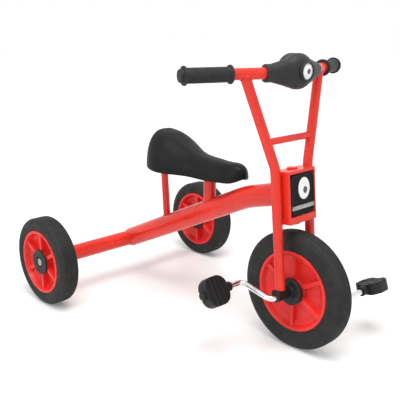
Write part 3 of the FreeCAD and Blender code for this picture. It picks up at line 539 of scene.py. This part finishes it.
def makeGrip(side, name):
    # a turned sleeve with a flange at each end and a smaller cap; shallow flutes run along its barrel
    grip = dict(start=147, flange=17.5, flangeWide=5, barrel=14, endRadius=12, end=248.5, endLong=7, capWall=4,
                rounding=[0.4, 1.8, 1.8, 1.2, 1.2, 1.8, 1.8, 0.8, 2.2, 0, 0, 0], step=1.0, around=224,
                flutes=28, fluteDepth=0.35, fluteShort=2, fluteFrom=12.5)
    bore, outer = bar["sleeveBore"], grip["end"] - grip["endLong"]
    barrel = (grip["start"] + grip["flangeWide"], outer - grip["flangeWide"])
    corners = [(grip["start"], bore), (grip["start"], grip["flange"]), (barrel[0], grip["flange"]),
               (barrel[0], grip["barrel"]), (barrel[1], grip["barrel"]), (barrel[1], grip["flange"]),
               (outer, grip["flange"]), (outer, grip["endRadius"]), (grip["end"], grip["endRadius"]),
               (grip["end"], 0), (grip["end"] - grip["capWall"], 0), (grip["end"] - grip["capWall"], bore)]
    outline = evenly(roundOutline(corners, grip["rounding"], 6), grip["step"]) * mm
    fluteHalf = (barrel[1] - barrel[0]) / 2 - grip["fluteShort"]

    def flutes(along, radius, turn):
        on = (np.abs(along / mm - sum(barrel) / 2) < fluteHalf) & (radius > grip["fluteFrom"] * mm)
        return -grip["fluteDepth"] * mm * on * np.clip(np.cos(turn * grip["flutes"]), 0, 1) ** 2

    points = lathe(outline, barApex, armDirection(side), grip["around"], flutes)
    makePiece(name + "GripSleeve", [surface(points, closeRows=True)], looks["grip_rubber"], "fork",
              ["grip_" + name])


lamp = dict(radius=33.0, ahead=18, behind=34, round=17, lift=2, sleeve=17, sleeveEnd=78, endRound=3, endDrop=2,
            neckTall=31, neckDeep=17, neckStart=12, neckEnd=64, blend=7, rows=221, around=112, samples=90,
            nearest=12, furthest=46, bezel=18.5, bezelFront=25.5, bezelFoot=12, lens=15.7, lensGap=0.2, lensDeep=5.5,
            lensFlutes=36, fluteDepth=0.3, heart=5.2)


def lampHousing():
    # the distance from the bent bar, along rays square to it, to a soft union of a round-rimmed drum and oval sleeves
    reach = lamp["sleeveEnd"] - 0.5
    along = np.linspace(-reach, reach, lamp["rows"])
    bend = bar["bend"] / mm
    bent = np.clip(along / bend, -bar["sweep"], bar["sweep"])
    straight = along - bent * bend
    middle = np.stack([bend * np.sin(bent) + straight * np.cos(bent),
                       bend * (1 - np.cos(bent)) + straight * np.sin(bent), 0 * bent], axis=-1)
    back = np.stack([-np.sin(bent), np.cos(bent), 0 * bent], axis=-1)
    turn = np.linspace(0, 2 * math.pi, lamp["around"], endpoint=False)
    ray = np.cos(turn)[None, :, None] * back[:, None] + np.sin(turn)[None, :, None] * np.array([0, 0, 1.0])
    distance = np.linspace(lamp["nearest"], lamp["furthest"], lamp["samples"])
    places = middle[:, None, None] + distance[:, None] * ray[:, :, None]
    # the drum: how far a place is outside its rounded edge, or inside its faces
    half, rounded = (lamp["behind"] + lamp["ahead"]) / 2, lamp["round"]
    fromAxis = np.hypot(places[..., 0], places[..., 2] - lamp["lift"]) - (lamp["radius"] - rounded)
    fromMiddle = np.abs(places[..., 1] - (lamp["behind"] - lamp["ahead"]) / 2) - (half - rounded)
    drum = np.hypot(np.maximum(fromAxis, 0), np.maximum(fromMiddle, 0)) - rounded
    drum = drum + np.minimum(np.maximum(fromAxis, fromMiddle), 0)
    # the sleeve: an oval that grows towards the drum and closes in over its last few mm
    share = np.clip((lamp["neckEnd"] - np.abs(along)) / (lamp["neckEnd"] - lamp["neckStart"]), 0, 1)[:, None]
    tall = lamp["sleeve"] + (lamp["neckTall"] - lamp["sleeve"]) * share
    deep = lamp["sleeve"] + (lamp["neckDeep"] - lamp["sleeve"]) * share
    end = np.clip((lamp["sleeveEnd"] - np.abs(along)) / lamp["endRound"], 0, 1)[:, None]
    oval = 1 / np.hypot(np.cos(turn) / deep, np.sin(turn) / tall) - lamp["endDrop"] * (1 - np.sqrt(1 - (1 - end) ** 2))
    sleeve = distance - oval[..., None]
    # the skin is where the soft union of both crosses zero, between the last place inside and the next
    near = np.clip(0.5 + 0.5 * (sleeve - drum) / lamp["blend"], 0, 1)
    field = sleeve * (1 - near) + drum * near - lamp["blend"] * near * (1 - near)
    last = np.clip((field < 0).sum(axis=-1), 1, lamp["samples"] - 1)[..., None]
    inside, outside = (np.take_along_axis(field, last - k, axis=-1)[..., 0] for k in (1, 0))
    radius = distance[last[..., 0] - 1] + (distance[1] - distance[0]) * np.clip(inside / (inside - outside), 0, 1)
    points = middle[:, None] + radius[..., None] * ray
    bore = middle[[-1, 0], None] + bar["sleeveBore"] * ray[[-1, 0]]
    return barCrest + np.concatenate([points, bore]) * mm


def makeLamp():
    # the housing with a turned bezel, a fluted pale ring in it and a domed glass in the middle
    ahead = np.array([0, -1.0, 0])
    centre = barCrest + np.array([0, 0, lamp["lift"]]) * mm
    foot, front, heart, lens = lamp["bezelFoot"], lamp["bezelFront"], lamp["heart"], lamp["lens"]
    inner, outer, seat = lens + lamp["lensGap"], lamp["bezel"], front - lamp["lensDeep"]
    bezel = roundOutline([(foot, inner), (front, inner), (front, outer), (foot, outer)], [0, 0.7, 1.6, 0], 7) * mm
    grids = [surface(lampHousing(), closeRows=True), surface(lathe(bezel, centre, ahead, 96), closeRows=True)]
    makePiece("lampBall", grids, lampLook, "fork", ["lamp_housing"], crease=60)
    ring = roundOutline([(seat, heart), (seat, lens), (front - 2.5, lens), (front + 1.5, heart + 1),
                         (front + 0.8, heart)], [0, 0, 0.8, 0.8, 0], 6) * mm
    glass = np.array([(front - 1, 0), (front - 1, heart - 0.1), (front, heart - 0.1), (front + 0.7, heart * 0.8),
                      (front + 1.2, heart * 0.45), (front + 1.4, 0)]) * mm

    def flutes(along, radius, turn):
        on = (radius > (heart + 2) * mm) * (along > (seat + 1) * mm)
        return -lamp["fluteDepth"] * mm * np.clip(np.cos(turn * lamp["lensFlutes"]), 0, 1) * on

    makePiece("lampRing", [surface(lathe(ring, centre, ahead, 288, flutes), closeRows=True)], looks["lens_plastic"],
              "fork", ["lamp_lens"])
    makePiece("lampGlass", [surface(lathe(glass, centre, ahead, 64))], smokedLook, "fork")


for side, name in ((1, "left"), (-1, "right")):
    makeGrip(side, name)
makeLamp()
print("stage: handlebar")


# Pedals: the tilt is in degrees about the spindle, and differs because each hangs as it was left

def makePedal(side, name, tilt):
    # the section is a waisted block; along the spindle its height is held down in each groove,
    # and towards each end its edges move inwards on the arc of the round corners
    pedal = dict(half=29, deep=30, high=12, corner=22, bar=12, core=11, edge=2.2, step=1.5, grooves=4, groove=3.0,
                 grooveWide=3.5, soft=0.35, endRound=1.6, endRows=6, rowsFrom=2, rowStep=0.3, bore=6.1,
                 boss=10, bossLong=14, cup=8.8, cupFrom=9, cupLong=3.7)
    half, deep, high, core, edge = (pedal[size] for size in ("half", "deep", "high", "core", "edge"))
    fromBar = deep - pedal["bar"]
    corners = mirrored([(deep, high), (fromBar, high), (fromBar, core)])
    corners += [(-d, -h) for d, h in corners]
    outline = evenly(roundOutline(corners, [edge, 0.5, 0.4, 0.4, 0.5, edge] * 2, 5), pedal["step"])
    endRound, endRows, rowsTo = pedal["endRound"], pedal["endRows"], half - pedal["rowsFrom"]
    along = np.concatenate([-half + endRound * np.linspace(0, 1, endRows)[:-1],
                            np.arange(-rowsTo, rowsTo, pedal["rowStep"]),
                            half - endRound * np.linspace(1, 0, endRows)[1:]])
    places = -half + 2 * half * np.arange(1, pedal["grooves"] + 1) / (pedal["grooves"] + 1)
    wide, soft = pedal["grooveWide"] / 2, pedal["soft"]
    off = along[:, None] - places
    depth = pedal["groove"] * (0.5 * np.tanh((off + wide) / soft) - 0.5 * np.tanh((off - wide) / soft)).sum(axis=1)
    near = np.clip((half - np.abs(along)) / endRound, 0, 1)
    shrink = endRound * (1 - np.sqrt(1 - (1 - near) ** 2))
    over = np.clip(np.abs(along) - (half - pedal["corner"]), 0, pedal["corner"])
    inwards = (pedal["corner"] - np.sqrt(pedal["corner"] ** 2 - over ** 2) + shrink)[:, None]
    aside = np.abs(outline[:, 0])
    aside = np.where(aside > deep - edge, aside - inwards, np.minimum(aside, deep - edge - inwards))
    tall = np.minimum(np.abs(outline[:, 1]), (high - depth)[:, None]) * (1 - shrink / high)[:, None]
    d, h = np.sign(outline[:, 0]) * aside, np.sign(outline[:, 1]) * tall
    turn = np.arctan2(outline[:, 1], outline[:, 0])
    bore = np.stack([np.zeros_like(turn), pedal["bore"] * np.cos(turn), pedal["bore"] * np.sin(turn)], axis=-1)
    block = np.stack([np.broadcast_to(along[:, None], d.shape), d, h], axis=-1)
    block = np.concatenate([block, [bore + (half, 0, 0), bore - (half, 0, 0)]])
    # the boss reaches to the crank's bend, with a cup in it round the crank's collar
    tip, cupEnd = -half - pedal["bossLong"], -half - pedal["cupFrom"]
    cupStart = cupEnd - pedal["cupLong"]
    ring = roundOutline([(cupEnd, pedal["bore"]), (cupEnd, pedal["cup"]), (cupStart, pedal["cup"]),
                         (cupStart, pedal["bore"]), (tip, pedal["bore"]), (tip, pedal["boss"]),
                         (-half + 1, pedal["boss"]), (-half + 1, pedal["bore"])], [0, 0, 0, 0, 0, 1.5, 0, 0], 6)
    grids = [surface(block, closeRows=True), surface(lathe(ring, np.zeros(3), across, 64), closeRows=True)]
    lean = math.radians(tilt)
    turned = np.array([[side, 0, 0], [0, math.cos(lean), -math.sin(lean)], [0, math.sin(lean), math.cos(lean)]])
    spindle = jointAt[name + "_pedal_spin"]
    grids = [(points @ turned.T * mm + spindle, quads) for points, quads in grids]
    makePiece(name + "PedalBlock", grids, looks["black_plastic"], name + "_pedal",
              ["pedal_" + name], crease=45)


makePedal(1, "left", -18.0)
makePedal(-1, "right", 58.0)
print("stage: pedals")


# Head cover with a plain oval and a plain band

def makeCover():
    # rings of a squared ellipse shrink to the middle; the height rises over a rounded edge and a raised border
    cover = dict(half=37.5, high=42, centre=202.5, front=25, thick=4, power=7, around=160, rings=40, edgeShare=0.07,
                 border=0.9, borderSoft=0.05, dip=0.9, ovalAt=(5, 213), oval=(17.5, 21.8), ovalHigh=0.8, ovalDome=0.3,
                 heartAt=(7.6, 209.5), heart=(6.4, 6.8), heartHigh=1.5, heartDome=0.4,
                 bandAt=177, bandHigh=8.5, bandShare=0.92, bandThick=1.4, bandFoot=0.3)
    turn = np.linspace(0, 2 * math.pi, cover["around"], endpoint=False)
    cosine, sine = np.cos(turn), np.sin(turn)
    reach = (np.abs(cosine) ** cover["power"] + np.abs(sine) ** cover["power"]) ** (-1 / cover["power"])
    share = 1 - np.linspace(1, 0, cover["rings"]) ** 2
    edge = np.clip((1 - share) / cover["edgeShare"], 0, 1)
    height = cover["thick"] * np.sqrt(1 - (1 - edge) ** 2)
    height = height - cover["dip"] * np.clip((cover["border"] - share) / cover["borderSoft"], 0, 1)
    x = cover["half"] * share[:, None] * cosine * reach
    up = cover["centre"] + cover["high"] * share[:, None] * sine * reach
    foot, face = cover["front"] - cover["thick"], cover["front"] - cover["dip"]
    plate = onFork(x, up, foot + height[:, None])
    back = onFork(x, up, np.full(x.shape, foot))[::-1]
    makePiece("headCoverPlate", [surface(np.concatenate([plate, back]))], coverLook, "fork",
              ["head_cover"])

    def disc(middle, size, low, high, dome):
        # an oval by rings from its middle: a dome that falls to its edge, then the edge's wall
        ring = np.array([0, 0.35, 0.7, 0.9, 0.97, 1.0, 1.0])[:, None]
        out = np.array([high + dome, high + 0.9 * dome, high + 0.5 * dome, high + 0.1 * dome, high, high - 0.3, low])
        return surface(onFork(middle[0] + size[0] * ring * cosine, middle[1] + size[1] * ring * sine, out[:, None]))

    oval = disc(cover["ovalAt"], cover["oval"], face - 0.3, face + cover["ovalHigh"], cover["ovalDome"])
    heart = disc(cover["heartAt"], cover["heart"], face + 0.6, face + cover["heartHigh"], cover["heartDome"])
    makePiece("plainOval", [oval], looks["lens_plastic"], "fork")
    makePiece("plainOvalHeart", [heart], smokedLook, "fork")
    low, high, half = -cover["bandFoot"], cover["bandThick"], cover["bandHigh"] / 2
    section = roundOutline([(low, -half), (high, -half), (high, half), (low, half)], [0, 1.0, 1.0, 0], 6)
    length = np.linspace(-1, 1, 24)[:, None] * cover["half"] * cover["bandShare"]
    band = onFork(length, cover["bandAt"] + section[None, :, 1], face + section[None, :, 0])
    makePiece("plainBand", [surface(capped(band))], looks["zinc_steel"], "fork")


makeCover()
print("stage: head cover")


# Weld beads where tubes meet

def tubeOnTube(start, axis, radius, other, otherAxis, otherRadius, steps=96):
    # from the small tube's wall, go back along it to the first touch of the other tube: a quadratic in the distance
    axis, first, second = squareTo(axis)
    turn = np.linspace(0, 2 * math.pi, steps, endpoint=False)[:, None]
    wall = start + radius * (np.cos(turn) * first + np.sin(turn) * second)
    otherAxis = otherAxis / np.linalg.norm(otherAxis)
    slant = -axis + (axis @ otherAxis) * otherAxis
    gap = wall - other - ((wall - other) @ otherAxis)[:, None] * otherAxis
    a, b, c = slant @ slant, gap @ slant, (gap ** 2).sum(axis=1) - otherRadius ** 2
    distance = (-b - np.sqrt(np.maximum(b ** 2 - a * c, 0))) / a
    return wall - distance[:, None] * axis


def makeWelds():
    # radii of the tubes and the places that they run through, as in the solids; legBend and legHalf are on the fork
    weld = dict(radius=1.7 * mm, thin=0.8, ripple=0.16, legTube=10 * mm, legHalf=51, legBend=257, brace=7 * mm,
                braceHigh=434 * mm, braceRipples=26, post=14 * mm, strut=8.5 * mm, strutLean=10 * mm, spine=24 * mm,
                ringOut=0.4 * mm, ringDrop=0.8 * mm, ringSteps=72, ringRipples=30, axleTube=19 * mm, axleRipples=60,
                fadeFrom=0.5 * mm, fadeLong=4 * mm, fadeTo=0.1, bendBack=137 * mm, bendHigh=296 * mm)
    radius, ripple, thin = weld["radius"], weld["ripple"], weld["radius"] * weld["thin"]
    forkBeads, frameBeads, braceBeads = [], [], []
    for side in (-1, 1):
        foot = onFork(side * weld["legHalf"], weld["legBend"], 0)
        top = barApex + bar["legAt"] * armDirection(side)
        curve = tubeOnTube((foot + top) / 2, foot - top, weld["legTube"], barApex, armDirection(side), bar["radius"])
        forkBeads.append(bead(curve, radius, ripple))
        meet = foot + (top - foot) * (weld["braceHigh"] - foot[2]) / (top[2] - foot[2])
        curve = tubeOnTube(meet * (0, 1, 1), side * -across, weld["brace"], foot, top - foot, weld["legTube"])
        braceBeads.append(bead(curve, thin, ripple, weld["braceRipples"]))
    rearAxle = jointAt["left_rear_wheel_spin"] * (0, 1, 1)
    corner = np.array([0, frontAxle[1] + weld["bendBack"], weld["bendHigh"]])
    spine = rearAxle - corner
    turn = np.linspace(0, 2 * math.pi, weld["ringSteps"], endpoint=False)[:, None]
    circle = np.concatenate([np.cos(turn), np.sin(turn), 0 * turn], axis=1)
    for node, tube, lean in (("seat_post", weld["post"], 0.0), ("rear_strut", weld["strut"], weld["strutLean"])):
        low, high = (np.array(end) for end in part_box(node))
        topY = high[1] - tube if lean else (low[1] + high[1]) / 2
        rise = high[2] - (corner[2] + (topY - lean - corner[1]) * spine[2] / spine[1])
        top = np.array([0, topY, high[2]])
        curve = tubeOnTube(top, np.array([0, lean, rise]), tube, corner, spine, weld["spine"])
        frameBeads.append(bead(curve, radius, ripple))
        ring = top + (tube + weld["ringOut"]) * circle
        frameBeads.append(bead(ring - (0, 0, weld["ringDrop"]), thin, ripple, weld["ringRipples"]))
    # the bead at the axle tube thins out where the two tubes stand apart
    curve = tubeOnTube((corner + rearAxle) / 2, corner - rearAxle, weld["spine"], rearAxle, across, weld["axleTube"])
    over = weld["axleTube"] + weld["fadeFrom"] - np.abs(curve[:, 2] - rearAxle[2])
    fade = np.clip(over / weld["fadeLong"], weld["fadeTo"], 1)[:, None, None]
    frameBeads.append(bead(curve, radius * fade, ripple, weld["axleRipples"]))
    makePiece("forkWelds", forkBeads + braceBeads, looks["red_paint"], "fork")
    makePiece("frameWelds", frameBeads, looks["red_paint"], "frame")


makeWelds()
print("stage: welds")


# Stage, light and camera: places in metres, turns in degrees

def seenOf(look):
    # one for rays that the camera sees straight, in a gloss or through a glass, so that light on the object stays plain
    rays = addNode(look, "ShaderNodeLightPath").outputs
    straight = mathOf(look, "MAXIMUM", rays["Is Camera Ray"], rays["Is Glossy Ray"])
    return mathOf(look, "MAXIMUM", straight, rays["Is Transmission Ray"])


def setStage():
    # a pale floor in a white world that glows a little more with the distance from the object: the weak glow near it is
    # painted shade that deepens the object's shadow
    studio = dict(floorHalf=14.0, paper=(0.94, 0.94, 0.94, 1), grain=3, rough=(0.30, 0.34), glowFrom=0.5, glowTo=2.6,
                  nearGlow=0.14, farGlow=0.34, white=(1, 1, 1, 1), worldSeen=1.0, worldLight=0.59)
    half = studio["floorHalf"]
    mesh = bpy.data.meshes.new("floor")
    mesh.from_pydata([(-half, -half, 0), (half, -half, 0), (half, half, 0), (-half, half, 0)], [], [(0, 1, 2, 3)])
    look, shader, place = newLook("floorPaper", {"Specular IOR Level": 0.25, "Base Color": studio["paper"],
                                                 "Emission Color": studio["white"]})
    # painted shade: the floor's glow, seen straight or in a gloss, is weakest near the object, so its shadow there
    # looks deeper
    glowWithPaintedShade = between(look, lengthOf(look, place), studio["glowFrom"], studio["glowTo"], studio["nearGlow"],
                   studio["farGlow"])
    connect(look, shader, Roughness=cloudy(look, place, studio["grain"], studio["rough"]),
            Emission_Strength=mathOf(look, "MULTIPLY", seenOf(look), glowWithPaintedShade))
    mesh.materials.append(look)
    floor = bpy.data.objects.new("floor", mesh)
    bpy.context.scene.collection.objects.link(floor)
    world = bpy.data.worlds.new("studioWorld")
    bpy.context.scene.world = world
    world.use_nodes = True
    background = world.node_tree.nodes["Background"]
    background.inputs["Color"].default_value = studio["white"]
    connect(world, background,
            Strength=between(world, seenOf(world), 0, 1, studio["worldLight"], studio["worldSeen"]))


def addLamp(name, size, watts, place, target):
    # a round soft box, turned so that its face looks at the target
    light = bpy.data.lights.new(name, "AREA")
    light.shape, light.size, light.energy = "DISK", size, watts
    holder = bpy.data.objects.new(name, light)
    bpy.context.scene.collection.objects.link(holder)
    holder.location = place
    aim = np.array(target) - np.array(place)
    holder.rotation_euler = (math.atan2(math.hypot(aim[0], aim[1]), -aim[2]), 0, math.atan2(-aim[0], aim[1]))


def setCamera():
    view = dict(place=(-0.9809, -1.0047, 0.6465), tilt=74.699, turn=-43.687, lens=57.135, sensor=36)
    camera = bpy.data.cameras.new("photoCamera")
    camera.lens, camera.sensor_width = view["lens"], view["sensor"]
    holder = bpy.data.objects.new("photoCamera", camera)
    bpy.context.scene.collection.objects.link(holder)
    holder.location = view["place"]
    holder.rotation_euler = (math.radians(view["tilt"]), 0, math.radians(view["turn"]))
    bpy.context.scene.camera = holder


setStage()
addLamp("softTop", size=2.0, watts=66, place=(-0.6, -0.75, 3.0), target=(0, 0, 0.2))
addLamp("softLeft", size=1.2, watts=9, place=(-2.0, 0.2, 1.1), target=(0, 0, 0.25))
setCamera()
bpy.context.scene.view_settings.view_transform = "Standard"
print("stage: light and camera")
